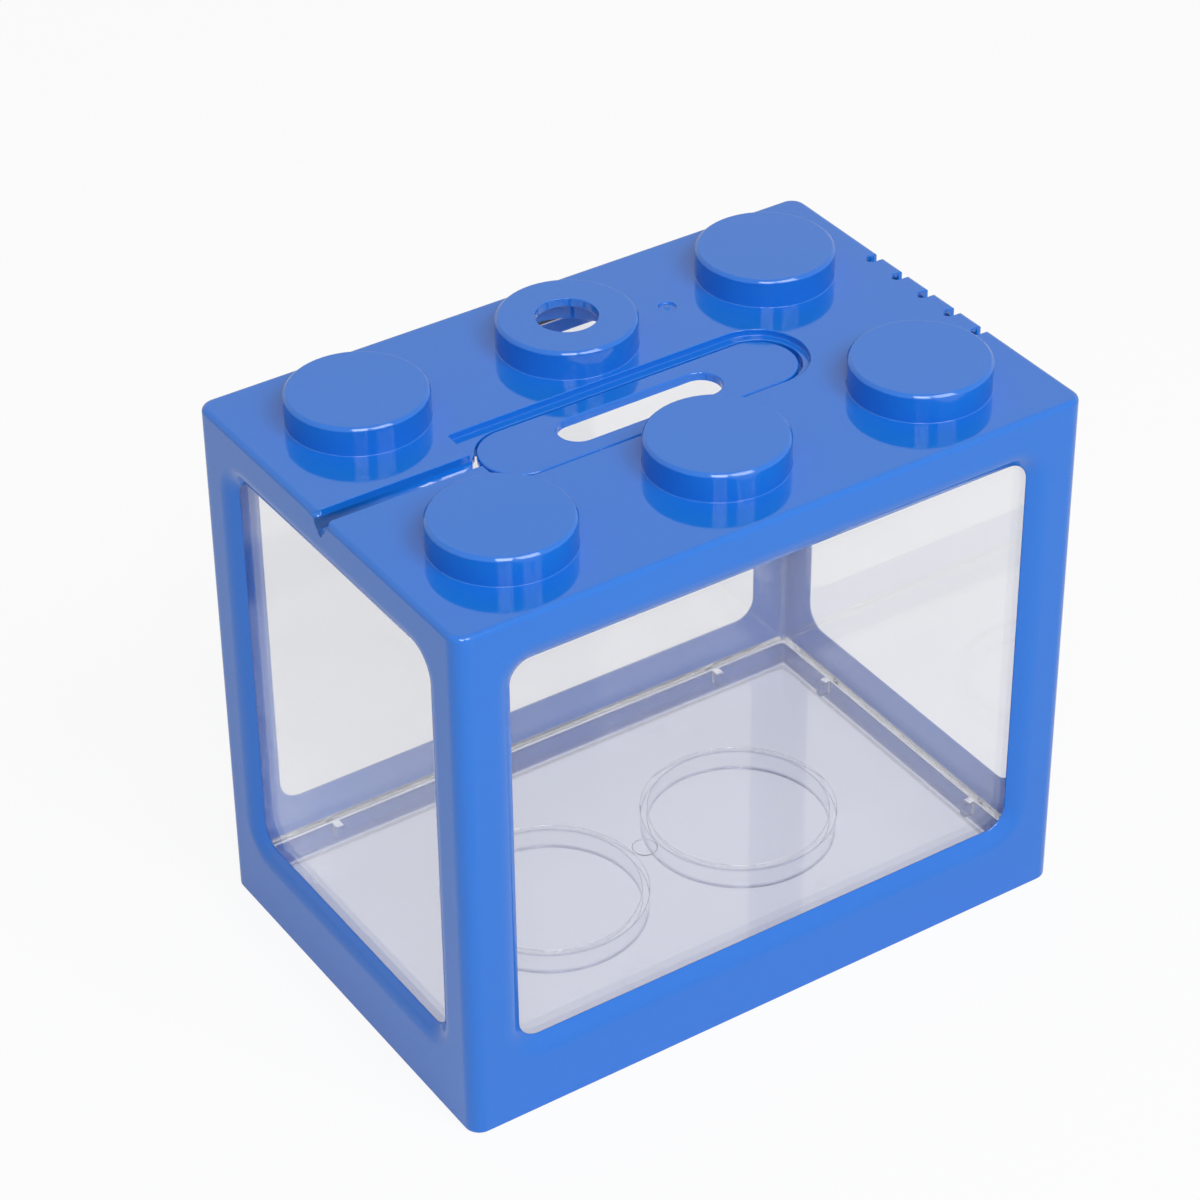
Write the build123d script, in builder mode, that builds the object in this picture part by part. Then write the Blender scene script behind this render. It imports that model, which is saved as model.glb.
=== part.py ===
import os
from math import hypot

from build123d import *

# Lengths are in millimetres. The origin is the middle of the underside, +X runs along
# the long side, -Y is the long front face and +Z is up.

# Outer cover, box
length = 120.0
width = 80.0
height = 100.0
side_wall = 1.8
top_wall = 1.7
upright_edge_r = 2.8
top_edge_r = 1.0
foot_edge_bevel = 0.4

# Outer cover, windows
post_w = 7.9
top_band = 6.9
foot_band = 12.8
window_corner_r = 6.2
window_bevel_w = 2.3
window_bevel_depth = 1.5
window_edge_r = 5.0

# Studs on top, in two rows of three
stud_count_x = 3
stud_count_y = 2
stud_pitch_x = 40.2
stud_pitch_y = 43.3
stud_r = 11.95
stud_h = 5.2
stud_edge_bevel = 0.5
stud_side_wall = 1.7
stud_top_wall = 1.6
air_hole_r = 5.3

# Recess for the slot plate
recess_w = 17.4
recess_depth = 1.2
recess_start_x = -31.3
recess_end_x = 32.0
recess_corner_r = 0.6
pad_rim = 1.2

# Slot plate
plate_len = 60.2
plate_w = 13.8
plate_t = 1.55
plate_edge_bevel = 0.2
slot_len = 31.0
slot_w = 7.0
plate_gap = 0.3
plate_end_gap = 0.7
plate_seat_gap = 0.05
ledge_w = 1.2
ledge_t = 1.2
nib_r = 0.25
nib_spread_x = 24.0

# Air hose groove and the hole that it leads to
groove_w = 3.6
groove_depth = 2.9
groove_mouth_r = 1.5
drip_notch_r = 0.7
drip_notch_len = 1.0
groove_floor_t = 1.6
hose_hole_r = 3.7
hose_hole_inset = 2.4

# Vent notches along the right top edge
vent_count = 5
vent_pitch = 7.2
vent_w = 2.0
vent_reach = 3.2
vent_depth = 3.4
vent_centre_y = 0.5
vent_lip_r = 0.5

# Moulding gate mark between two back studs
gate_r = 1.5
gate_depth = 0.35
gate_nub_r = 0.45
gate_nub_h = 0.25

# Inner tank
tank_gap = 0.5
tank_wall = 1.8
tank_corner_r = 2.2
tank_inner_corner_r = 1.4
tank_rim_gap = 0.6
tank_rim_bevel = 0.4
tank_floor_z = 8.4
tank_floor_t = 2.0
tank_floor_bevel = 0.8

# Clutch tubes and ribs under the tank floor
tube_play = 0.1
tube_wall = 1.2
tube_foot_z = 2.0
rib_w = 1.4
rib_play = 0.1
rib_foot_z = 3.4
tank_gate_r = 2.2
tank_gate_h = 0.4

# Heights and spans that follow from the sizes above
ceiling_z = height - top_wall
recess_z = height - recess_depth
plate_seat_z = recess_z - plate_t - plate_seat_gap
ledge_under_z = plate_seat_z - ledge_t
groove_z = height - groove_depth
groove_under_z = groove_z - groove_floor_t
cover_inner_len = length - 2 * side_wall
cover_inner_w = width - 2 * side_wall
window_h = height - top_band - foot_band
window_mid_z = foot_band + window_h / 2
plate_left_x = -plate_len / 2
pocket_len = plate_len + plate_gap + plate_end_gap
pocket_mid_x = (plate_end_gap - plate_gap) / 2
pocket_w = plate_w + 2 * plate_gap
recess_len = recess_end_x - recess_start_x
hose_hole_x = plate_left_x + hose_hole_inset
tank_len = cover_inner_len - 2 * tank_gap
tank_w = cover_inner_w - 2 * tank_gap
tank_inner_len = tank_len - 2 * tank_wall
tank_inner_w = tank_w - 2 * tank_wall
tank_rim_z = groove_under_z - tank_rim_gap
tank_under_z = tank_floor_z - tank_floor_t
tube_r = hypot(stud_pitch_x, stud_pitch_y) / 2 - stud_r - tube_play
stud_row_y = stud_pitch_y * (stud_count_y - 1) / 2
rib_reach = tank_inner_w / 2 - stud_row_y - stud_r - rib_play


# Outer cover: one moulded shell, open below
def recess_outline():
    """Square at the left with small corner radii, a half circle at the right."""
    with BuildSketch() as outline:
        with Locations((recess_end_x - recess_w / 2, 0)):
            Circle(recess_w / 2)
            Rectangle(recess_len - recess_w / 2, recess_w, align=(Align.MAX, Align.CENTER))
        fillet(outline.vertices().group_by(Axis.X)[0], radius=recess_corner_r)
    return outline.sketch


def mouth_outline(gap_w, mouth_r):
    """The end of a slot of width gap_w that opens on the Y axis with rounded corners."""
    with BuildSketch() as outline:
        Rectangle(mouth_r, gap_w + 2 * mouth_r, align=(Align.MIN, Align.CENTER))
        with Locations((mouth_r, gap_w / 2 + mouth_r), (mouth_r, -gap_w / 2 - mouth_r)):
            Circle(mouth_r, mode=Mode.SUBTRACT)
    return outline.sketch


def window_faces():
    """Each side face as its plane, half height up, with the width of its window."""
    middle = (0, 0, window_mid_z)
    along_x = (1, 0, 0)
    along_y = (0, 1, 0)
    front = Plane(origin=middle, x_dir=along_x, z_dir=(0, -1, 0)).offset(width / 2)
    back = Plane(origin=middle, x_dir=along_x, z_dir=(0, 1, 0)).offset(width / 2)
    left = Plane(origin=middle, x_dir=along_y, z_dir=(-1, 0, 0)).offset(length / 2)
    right = Plane(origin=middle, x_dir=along_y, z_dir=(1, 0, 0)).offset(length / 2)
    long_w = length - 2 * post_w
    short_w = width - 2 * post_w
    return [(front, long_w), (back, long_w), (left, short_w), (right, short_w)]


with BuildPart() as outer_cover:
    # Closed block with rounded edges
    with BuildSketch():
        RectangleRounded(length, width, upright_edge_r)
    extrude(amount=height)
    fillet(outer_cover.faces().sort_by(Axis.Z)[-1].edges(), radius=top_edge_r)
    chamfer(outer_cover.faces().sort_by(Axis.Z)[0].edges(), foot_edge_bevel)

    # Studs
    with BuildSketch(Plane.XY.offset(ceiling_z)):
        with GridLocations(stud_pitch_x, stud_pitch_y, stud_count_x, stud_count_y):
            Circle(stud_r)
    extrude(amount=top_wall + stud_h)
    stud_tops = outer_cover.faces().filter_by(Plane.XY).group_by(Axis.Z)[-1]
    chamfer(stud_tops.edges(), stud_edge_bevel)

    # Hollow inside, and up into each stud
    with BuildSketch():
        RectangleRounded(cover_inner_len, cover_inner_w, upright_edge_r - side_wall)
    extrude(amount=ceiling_z, mode=Mode.SUBTRACT)
    with BuildSketch(Plane.XY.offset(ceiling_z)):
        with GridLocations(stud_pitch_x, stud_pitch_y, stud_count_x, stud_count_y):
            Circle(stud_r - stud_side_wall)
    extrude(amount=top_wall + stud_h - stud_top_wall, mode=Mode.SUBTRACT)

    # Thicker pads below the recess and the hose groove
    with BuildSketch(Plane.XY.offset(ledge_under_z)):
        add(recess_outline())
        offset(amount=pad_rim)
    extrude(amount=ceiling_z - ledge_under_z)
    pad_len = length / 2 - side_wall + hose_hole_x
    with BuildSketch(Plane.XY.offset(groove_under_z)):
        with Locations((hose_hole_x, 0)):
            Rectangle(pad_len, groove_w + 2 * groove_floor_t, align=(Align.MAX, Align.CENTER))
    extrude(amount=ceiling_z - groove_under_z)

    # Recess, square at the left and round at the right
    with BuildSketch(Plane.XY.offset(recess_z)):
        add(recess_outline())
    extrude(amount=recess_depth, mode=Mode.SUBTRACT)

    # Pocket that the slot plate sits in; the opening in its ledge is square at the hose end
    with BuildSketch(Plane.XY.offset(plate_seat_z)):
        with Locations((pocket_mid_x, 0)):
            SlotOverall(pocket_len, pocket_w)
    extrude(amount=recess_z - plate_seat_z, mode=Mode.SUBTRACT)
    with BuildSketch(Plane.XY.offset(ledge_under_z)):
        with Locations((pocket_mid_x, 0)):
            SlotOverall(pocket_len - 2 * ledge_w, pocket_w - 2 * ledge_w)
            Rectangle(pocket_len / 2, pocket_w - 2 * ledge_w, align=(Align.MAX, Align.CENTER))
    extrude(amount=ledge_t, mode=Mode.SUBTRACT)

    # Hose groove with a round bottom, and the hole at its inner end
    groove_start = Plane(origin=(-length / 2, 0, height), x_dir=(0, 1, 0), z_dir=(1, 0, 0))
    with BuildSketch(groove_start):
        with Locations((0, groove_w / 2 - groove_depth)):
            Circle(groove_w / 2)
            Rectangle(groove_w, groove_depth, align=(Align.CENTER, Align.MIN))
    extrude(amount=length / 2 + hose_hole_x, mode=Mode.SUBTRACT)
    with BuildSketch(Plane.XY.offset(groove_z + groove_w / 2)):
        with Locations((-length / 2, 0)):
            add(mouth_outline(groove_w, groove_mouth_r))
    extrude(amount=groove_depth, mode=Mode.SUBTRACT)
    with BuildSketch(groove_start):
        with Locations((0, -groove_depth)):
            Circle(drip_notch_r)
    extrude(amount=drip_notch_len, mode=Mode.SUBTRACT)
    with BuildSketch(Plane.XY.offset(groove_under_z)):
        with Locations((hose_hole_x, 0)):
            Circle(hose_hole_r)
    extrude(amount=recess_z - groove_under_z, mode=Mode.SUBTRACT)

    # Hole through the middle stud of the back row, for a tube or a feeding stick
    with BuildSketch(Plane.XY.offset(ceiling_z)):
        with Locations((0, stud_row_y)):
            Circle(air_hole_r)
    extrude(amount=top_wall + stud_h, mode=Mode.SUBTRACT)

    # Vent notches through the right top edge, round at their inner ends
    with BuildSketch(Plane.XY.offset(height - vent_depth)):
        with Locations((length / 2 - vent_reach + vent_w / 2, vent_centre_y)):
            with GridLocations(0, vent_pitch, 1, vent_count):
                Circle(vent_w / 2)
                Rectangle(vent_reach, vent_w, align=(Align.MIN, Align.CENTER))
        with Locations(Location((length / 2, vent_centre_y), 180)):
            with GridLocations(0, vent_pitch, 1, vent_count):
                add(mouth_outline(vent_w, vent_lip_r))
    extrude(amount=vent_depth, mode=Mode.SUBTRACT)

    # Windows, bevelled all round on the outside with a soft outer edge
    for face_plane, window_w in window_faces():
        with BuildSketch(face_plane):
            RectangleRounded(
                window_w - 2 * window_bevel_w,
                window_h - 2 * window_bevel_w,
                window_corner_r - window_bevel_w,
            )
        extrude(amount=-side_wall, mode=Mode.SUBTRACT)
    for side_axis in (Axis.Y, Axis.X):
        for side in (0, -1):
            window_face = outer_cover.faces().sort_by(side_axis)[side]
            bevel_edges = window_face.inner_wires()[0].edges()
            chamfer(bevel_edges, window_bevel_w, window_bevel_depth, reference=window_face)
            window_face = outer_cover.faces().sort_by(side_axis)[side]
            fillet(window_face.inner_wires()[0].edges(), radius=window_edge_r)

    # Gate mark: a shallow dish with a nub in it
    with BuildSketch(Plane.XY.offset(height - gate_depth)):
        with Locations((stud_pitch_x / 2, stud_row_y)):
            Circle(gate_r)
    extrude(amount=gate_depth, mode=Mode.SUBTRACT)
    with BuildSketch(Plane.XY.offset(height - gate_depth)):
        with Locations((stud_pitch_x / 2, stud_row_y)):
            Circle(gate_nub_r)
    extrude(amount=gate_nub_h)


# Inner tank: clear box with its floor above a hollow foot
with BuildPart() as inner_tank:
    with BuildSketch():
        RectangleRounded(tank_len, tank_w, tank_corner_r)
    extrude(amount=tank_rim_z)

    # Water space above the floor and hollow foot below it
    with BuildSketch(Plane.XY.offset(tank_floor_z)):
        RectangleRounded(tank_inner_len, tank_inner_w, tank_inner_corner_r)
    extrude(amount=tank_rim_z - tank_floor_z, mode=Mode.SUBTRACT)
    chamfer(inner_tank.faces().filter_by(Plane.XY).group_by(Axis.Z)[-2].edges(), tank_floor_bevel)
    chamfer(inner_tank.faces().sort_by(Axis.Z)[-1].edges(), tank_rim_bevel)
    with BuildSketch():
        RectangleRounded(tank_inner_len, tank_inner_w, tank_inner_corner_r)
    extrude(amount=tank_under_z, mode=Mode.SUBTRACT)

    # Tubes that grip between four studs of the cube below
    with BuildSketch(Plane.XY.offset(tube_foot_z)):
        with GridLocations(stud_pitch_x, 0, stud_count_x - 1, 1):
            Circle(tube_r)
            Circle(tube_r - tube_wall, mode=Mode.SUBTRACT)
    extrude(amount=tank_under_z - tube_foot_z)

    # Short ribs on the foot's inside, in line with the corner studs
    with BuildSketch(Plane.XY.offset(rib_foot_z)):
        with GridLocations(2 * stud_pitch_x, tank_inner_w - rib_reach, 2, 2):
            Rectangle(rib_w, rib_reach)
        with GridLocations(tank_inner_len - rib_reach, stud_pitch_y, 2, stud_count_y):
            Rectangle(rib_reach, rib_w)
    extrude(amount=tank_under_z - rib_foot_z)

    # Gate stub in the middle of the underside
    with BuildSketch(Plane.XY.offset(tank_under_z - tank_gate_h)):
        Circle(tank_gate_r)
    extrude(amount=tank_gate_h)


# Slot plate: loose pill-shaped insert with the feeding slot
with BuildPart() as slot_plate:
    with BuildSketch(Plane.XY.offset(plate_seat_z + plate_seat_gap)):
        SlotOverall(plate_len, plate_w)
        SlotOverall(slot_len, slot_w, mode=Mode.SUBTRACT)
    extrude(amount=plate_t)
    chamfer(slot_plate.faces().sort_by(Axis.Z)[-1].edges(), plate_edge_bevel)
    with BuildSketch(Plane.XY.offset(plate_seat_z + plate_seat_gap)):
        with GridLocations(nib_spread_x, plate_w, 2, 2):
            Circle(nib_r)
    extrude(amount=plate_t - plate_edge_bevel)


outer_cover.part.label = "outer_cover"
inner_tank.part.label = "inner_tank"
slot_plate.part.label = "slot_plate"

os.makedirs("parts", exist_ok=True)
export_step(outer_cover.part, "parts/outer_cover.step")
export_step(inner_tank.part, "parts/inner_tank.step")
export_step(slot_plate.part, "parts/slot_plate.step")
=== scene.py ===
import math

import bmesh
import bpy
from mathutils import Matrix, Vector


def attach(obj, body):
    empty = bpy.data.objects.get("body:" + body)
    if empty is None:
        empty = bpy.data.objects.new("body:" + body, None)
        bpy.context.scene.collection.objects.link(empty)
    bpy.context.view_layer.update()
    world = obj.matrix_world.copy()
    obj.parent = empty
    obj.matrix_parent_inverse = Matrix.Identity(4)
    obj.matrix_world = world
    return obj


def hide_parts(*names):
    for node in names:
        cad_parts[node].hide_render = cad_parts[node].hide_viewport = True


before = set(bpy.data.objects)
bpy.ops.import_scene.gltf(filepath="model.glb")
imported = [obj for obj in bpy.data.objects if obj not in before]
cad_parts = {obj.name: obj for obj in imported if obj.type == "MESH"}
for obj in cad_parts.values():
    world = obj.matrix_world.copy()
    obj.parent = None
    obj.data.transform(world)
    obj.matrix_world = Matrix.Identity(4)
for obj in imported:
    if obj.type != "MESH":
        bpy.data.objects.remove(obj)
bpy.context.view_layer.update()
scene = bpy.context.scene
mm = 0.001


# Materials: glossy blue for the cover and the slot plate, clear for the tank, with painted shade on the
# tank's undersides

blueLook = {
    "colour": (0.007, 0.165, 0.65, 1.0),
    "ior": 1.5,
    "roughness": 0.075,
    "shineSize": 90.0,
    "shineSpread": (0.8, 1.25),  # shares of the roughness
    "coat": 0.15,
    "coatRoughness": 0.04,
    "glow": 0.2,  # light that soaks into the thin walls
    "glowDepth": 1.2 * mm,
    "glowReach": (0.2, 0.6, 1.0),
    "waveSize": 28.0,
    "waveHeight": 0.10 * mm,
}

clearLook = {
    "wallColour": (0.97, 0.97, 0.98, 1.0),
    # darker, bluer colour for the undersides: painted shade of the floor below the tank, with painted blue
    # light from the cover
    "paintedUndersideShade": (0.42, 0.44, 0.58, 1.0),
    "ior": 1.5,
    "clear": 0.97,  # the rest is a faint haze
    "roughness": 0.02,
    "hazeSize": 60.0,
    "hazeSpread": (0.5, 1.5),  # shares of the roughness
    "undersideRoughness": 0.05,
    "undersides": (6.2 * mm, 2.0 * mm),  # of the tank floor and of the tubes below it
    "undersideReach": 0.3 * mm,
    "waveSize": 22.0,
    "waveHeight": 0.05 * mm,
    "pinSpread": (20 * mm, 29 * mm, 8.4 * mm),  # where the ejector pins pressed, in each quarter
    "pinRadius": 3.5 * mm,
    "pinLine": 0.25 * mm,
    "pinDepth": 0.05 * mm,
}


noiseDetail = 3
noiseLow, noiseHigh = 0.3, 0.7  # most of a noise pattern lies between these


def newMaterial(name):
    mat = bpy.data.materials.new(name)
    mat.use_nodes = True
    nodes = mat.node_tree.nodes
    return mat, nodes, mat.node_tree.links, nodes["Principled BSDF"]


def addNoise(nodes, links, scale, detail):
    coords = nodes.new("ShaderNodeTexCoord")
    noise = nodes.new("ShaderNodeTexNoise")
    noise.inputs["Scale"].default_value = scale
    noise.inputs["Detail"].default_value = detail
    links.new(coords.outputs["Object"], noise.inputs["Vector"])
    return noise


def addRange(nodes, links, source, low, high):
    ramp = nodes.new("ShaderNodeMapRange")
    ramp.inputs["From Min"].default_value = noiseLow
    ramp.inputs["From Max"].default_value = noiseHigh
    ramp.inputs["To Min"].default_value = low
    ramp.inputs["To Max"].default_value = high
    links.new(source, ramp.inputs["Value"])
    return ramp.outputs["Result"]


def addBump(nodes, links, height, distance, before=None):
    bump = nodes.new("ShaderNodeBump")
    bump.inputs["Strength"].default_value = 1.0
    bump.inputs["Distance"].default_value = distance
    links.new(height, bump.inputs["Height"])
    if before:
        links.new(before.outputs["Normal"], bump.inputs["Normal"])
    return bump


def larger(nodes, links, one, other):
    most = nodes.new("ShaderNodeMath")
    most.operation = "MAXIMUM"
    links.new(one, most.inputs[0])
    links.new(other, most.inputs[1])
    return most.outputs[0]


def makeBluePlastic():
    look = blueLook
    mat, nodes, links, shader = newMaterial("bluePlastic")
    shader.inputs["Base Color"].default_value = look["colour"]
    shader.inputs["IOR"].default_value = look["ior"]
    shader.inputs["Coat Weight"].default_value = look["coat"]
    shader.inputs["Coat Roughness"].default_value = look["coatRoughness"]
    shader.inputs["Subsurface Weight"].default_value = look["glow"]
    shader.inputs["Subsurface Radius"].default_value = look["glowReach"]
    shader.inputs["Subsurface Scale"].default_value = look["glowDepth"]
    shine = addNoise(nodes, links, look["shineSize"], noiseDetail)
    low, high = [look["roughness"] * share for share in look["shineSpread"]]
    links.new(addRange(nodes, links, shine.outputs["Fac"], low, high), shader.inputs["Roughness"])
    wave = addNoise(nodes, links, look["waveSize"], 1)
    bump = addBump(nodes, links, wave.outputs["Fac"], look["waveHeight"])
    links.new(bump.outputs["Normal"], shader.inputs["Normal"])
    return mat


def addPinRings(nodes, links, look):
    # one ring in each quarter of the tank floor
    coords = nodes.new("ShaderNodeTexCoord")
    quarter = nodes.new("ShaderNodeVectorMath")
    quarter.operation = "ABSOLUTE"
    links.new(coords.outputs["Object"], quarter.inputs[0])
    reach = nodes.new("ShaderNodeVectorMath")
    reach.operation = "DISTANCE"
    reach.inputs[1].default_value = look["pinSpread"]
    links.new(quarter.outputs["Vector"], reach.inputs[0])
    line = nodes.new("ShaderNodeMath")
    line.operation = "COMPARE"
    line.inputs[1].default_value = look["pinRadius"]
    line.inputs[2].default_value = look["pinLine"]
    links.new(reach.outputs["Value"], line.inputs[0])
    return line.outputs["Value"]


def addUndersideMask(nodes, links, look):
    # 1 on the undersides, 0 elsewhere; it places the painted shade and the satin roughness
    coords = nodes.new("ShaderNodeTexCoord")
    split = nodes.new("ShaderNodeSeparateXYZ")
    links.new(coords.outputs["Object"], split.inputs[0])
    levels = []
    for height in look["undersides"]:
        level = nodes.new("ShaderNodeMath")
        level.operation = "COMPARE"
        level.inputs[1].default_value = height
        level.inputs[2].default_value = look["undersideReach"]
        links.new(split.outputs["Z"], level.inputs[0])
        levels.append(level.outputs[0])
    return larger(nodes, links, *levels)


def makeClearPlastic():
    look = clearLook
    mat, nodes, links, shader = newMaterial("clearPlastic")
    shader.inputs["Transmission Weight"].default_value = look["clear"]
    shader.inputs["IOR"].default_value = look["ior"]
    underside = addUndersideMask(nodes, links, look)
    # the undersides are painted darker and bluer: painted shade of the floor seen through them
    tintAndPaintedShade = nodes.new("ShaderNodeMix")
    tintAndPaintedShade.data_type = "RGBA"
    tintAndPaintedShade.inputs["A"].default_value = look["wallColour"]
    tintAndPaintedShade.inputs["B"].default_value = look["paintedUndersideShade"]
    links.new(underside, tintAndPaintedShade.inputs["Factor"])
    links.new(tintAndPaintedShade.outputs["Result"], shader.inputs["Base Color"])
    haze = addNoise(nodes, links, look["hazeSize"], noiseDetail)
    low, high = [look["roughness"] * share for share in look["hazeSpread"]]
    satin = nodes.new("ShaderNodeMath")
    satin.operation = "MULTIPLY_ADD"
    satin.inputs[1].default_value = look["undersideRoughness"]
    links.new(underside, satin.inputs[0])
    links.new(addRange(nodes, links, haze.outputs["Fac"], low, high), satin.inputs[2])
    links.new(satin.outputs[0], shader.inputs["Roughness"])
    wave = addNoise(nodes, links, look["waveSize"], 1)
    waves = addBump(nodes, links, wave.outputs["Fac"], look["waveHeight"])
    pins = addBump(nodes, links, addPinRings(nodes, links, look), look["pinDepth"], before=waves)
    links.new(pins.outputs["Normal"], shader.inputs["Normal"])
    return mat


bluePlastic = makeBluePlastic()
clearPlastic = makeClearPlastic()
print("materials done")


# Moulded pieces: the CAD shape with every sharp edge eased, as a mould leaves it

coverMoulding = {
    "node": "outer_cover",
    "body": "cover",
    "slot": "blue_plastic",
    "ease": 0.16 * mm,
    "leaveSharp": [  # the groove's mouth and the vent notches
        (Vector((-61, -4, 94)) * mm, Vector((-57.5, 4, 101)) * mm),
        (Vector((56, -18, 95)) * mm, Vector((61, 19, 99.9)) * mm),
    ],
}
plateMoulding = {"node": "slot_plate", "body": "plate", "slot": "blue_plastic", "ease": 0.08 * mm}
tankMoulding = {"node": "inner_tank", "body": "tank", "slot": "clear_plastic", "ease": 0.14 * mm}
weldGap = 0.001 * mm
flatAngle = math.radians(0.4)  # faces that meet flatter than this become one
sharpAngle = math.radians(29)
easeSteps = 2
shadeWeight = 60


def inTightSpot(edge, look):
    # edges this close together would cross when eased
    middle = (edge.verts[0].co + edge.verts[1].co) / 2
    for low, high in look.get("leaveSharp", []):
        if all(a <= m <= b for a, m, b in zip(low, middle, high)):
            return True
    return False


def makeMoulding(look, name, material):
    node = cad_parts[look["node"]]
    bm = bmesh.new()
    bm.from_mesh(node.data)
    bm.transform(node.matrix_world)
    bmesh.ops.remove_doubles(bm, verts=bm.verts, dist=weldGap)
    bmesh.ops.dissolve_limit(bm, angle_limit=flatAngle, verts=bm.verts, edges=bm.edges)
    sharp = [edge for edge in bm.edges if edge.is_manifold and edge.calc_face_angle() > sharpAngle
             and not inTightSpot(edge, look)]
    bmesh.ops.bevel(bm, geom=sharp, offset=look["ease"], offset_type="OFFSET", segments=easeSteps,
                    profile=0.5, affect="EDGES", clamp_overlap=False, material=-1)
    bmesh.ops.recalc_face_normals(bm, faces=bm.faces)
    for face in bm.faces:
        face.smooth = True
    mesh = bpy.data.meshes.new(name)
    bm.to_mesh(mesh)
    bm.free()
    mesh.materials.append(material)
    piece = bpy.data.objects.new(name, mesh)
    scene.collection.objects.link(piece)
    even = piece.modifiers.new("evenShade", "WEIGHTED_NORMAL")
    even.weight = shadeWeight
    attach(piece, look["body"])
    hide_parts(look["node"])
    print(name, len(sharp), "edges eased,", len(mesh.polygons), "faces")
    return piece


makeMoulding(coverMoulding, "easedCover", bluePlastic)
makeMoulding(plateMoulding, "easedPlate", bluePlastic)
clearTank = makeMoulding(tankMoulding, "easedTank", clearPlastic)
# the studio light passes the clear plastic as if it were not there
clearTank.visible_shadow = False
clearTank.visible_diffuse = False


# Floor and light

floorLook = {
    "colour": (0.85, 0.85, 0.86, 1.0),
    "roughness": 0.7,
    "size": 3.0,
    "whiteSeen": 0.9,
    "whiteMirrored": 0.3,
    "whiteThrough": 0.7,
}
white = (1.0, 1.0, 1.0, 1.0)
skyLook = {"light": 0.3, "seen": 1.0}
leftBox = {"place": (-0.435, -0.772, 1.011), "width": 0.40, "height": 0.62, "power": 7.2}
rightBox = {"place": (0.168, -0.869, 1.011), "width": 0.56, "height": 0.62, "power": 7.2}
lightAim = Vector((0, 0, 0.06))


def scaled(nodes, links, source, share):
    times = nodes.new("ShaderNodeMath")
    times.operation = "MULTIPLY"
    times.inputs[1].default_value = share
    links.new(source, times.inputs[0])
    return times.outputs[0]


def makeFloor():
    look = floorLook
    bm = bmesh.new()
    bmesh.ops.create_grid(bm, x_segments=1, y_segments=1, size=look["size"])
    mesh = bpy.data.meshes.new("studioFloor")
    bm.to_mesh(mesh)
    bm.free()
    floor = bpy.data.objects.new("studioFloor", mesh)
    scene.collection.objects.link(floor)
    mat, nodes, links, shader = newMaterial("paleFloor")
    shader.inputs["Base Color"].default_value = look["colour"]
    shader.inputs["Roughness"].default_value = look["roughness"]
    path = nodes.new("ShaderNodeLightPath")
    glow = nodes.new("ShaderNodeEmission")
    mix = nodes.new("ShaderNodeMixShader")
    share = scaled(nodes, links, path.outputs["Is Camera Ray"], look["whiteSeen"])
    mirrored = scaled(nodes, links, path.outputs["Is Glossy Ray"], look["whiteMirrored"])
    through = scaled(nodes, links, path.outputs["Is Transmission Ray"], look["whiteThrough"])
    share = larger(nodes, links, larger(nodes, links, share, mirrored), through)
    links.new(share, mix.inputs[0])
    links.new(shader.outputs[0], mix.inputs[1])
    links.new(glow.outputs[0], mix.inputs[2])
    links.new(mix.outputs[0], nodes["Material Output"].inputs["Surface"])
    mesh.materials.append(mat)


def makeWorld():
    world = bpy.data.worlds.new("studio")
    world.use_nodes = True
    scene.world = world
    nodes, links = world.node_tree.nodes, world.node_tree.links
    light = nodes["Background"]
    light.inputs["Color"].default_value = white
    light.inputs["Strength"].default_value = skyLook["light"]
    seen = nodes.new("ShaderNodeBackground")
    seen.inputs["Color"].default_value = white
    seen.inputs["Strength"].default_value = skyLook["seen"]
    path = nodes.new("ShaderNodeLightPath")
    either = larger(nodes, links, path.outputs["Is Camera Ray"], path.outputs["Is Transmission Ray"])
    either = larger(nodes, links, either, path.outputs["Is Glossy Ray"])
    mix = nodes.new("ShaderNodeMixShader")
    links.new(either, mix.inputs[0])
    links.new(light.outputs[0], mix.inputs[1])
    links.new(seen.outputs[0], mix.inputs[2])
    links.new(mix.outputs[0], nodes["World Output"].inputs["Surface"])


def addSoftbox(look, name):
    lamp = bpy.data.lights.new(name, "AREA")
    lamp.shape = "RECTANGLE"
    lamp.size, lamp.size_y = look["width"], look["height"]
    lamp.energy = look["power"]
    box = bpy.data.objects.new(name, lamp)
    box.location = look["place"]
    aim = lightAim - Vector(look["place"])
    box.rotation_euler = aim.to_track_quat("-Z", "Y").to_euler()
    scene.collection.objects.link(box)


makeFloor()
makeWorld()
addSoftbox(leftBox, "leftBox")
addSoftbox(rightBox, "rightBox")
print("floor and lights done")


# Camera, at the photograph's viewing angle

cameraView = {
    "turn": -33.132,
    "height": 35.53,
    "roll": -0.668,
    "aim": Vector((-21.673, -20.608, 81.087)) * mm,
    "distance": 599.362 * mm,
    "focalPixels": 3782.483,
    "pictureWidth": 1200,
    "filmWidth": 36,
}


def makeCamera():
    turn = math.radians(cameraView["turn"])
    height = math.radians(cameraView["height"])
    roll = math.radians(cameraView["roll"])
    back = Vector((math.sin(turn) * math.cos(height), -math.cos(turn) * math.cos(height), math.sin(height)))
    level = Vector((0, 0, 1)).cross(back).normalized()
    upright = back.cross(level)
    right = level * math.cos(roll) + upright * math.sin(roll)
    up = upright * math.cos(roll) - level * math.sin(roll)
    lens = bpy.data.cameras.new("studioCamera")
    lens.sensor_width = cameraView["filmWidth"]
    lens.lens = cameraView["focalPixels"] / cameraView["pictureWidth"] * cameraView["filmWidth"]
    camera = bpy.data.objects.new("studioCamera", lens)
    turned = Matrix((right, up, back)).transposed().to_4x4()
    camera.matrix_world = Matrix.Translation(cameraView["aim"] + back * cameraView["distance"]) @ turned
    scene.collection.objects.link(camera)
    scene.camera = camera


makeCamera()
scene.view_settings.view_transform = "Standard"
print("camera done")
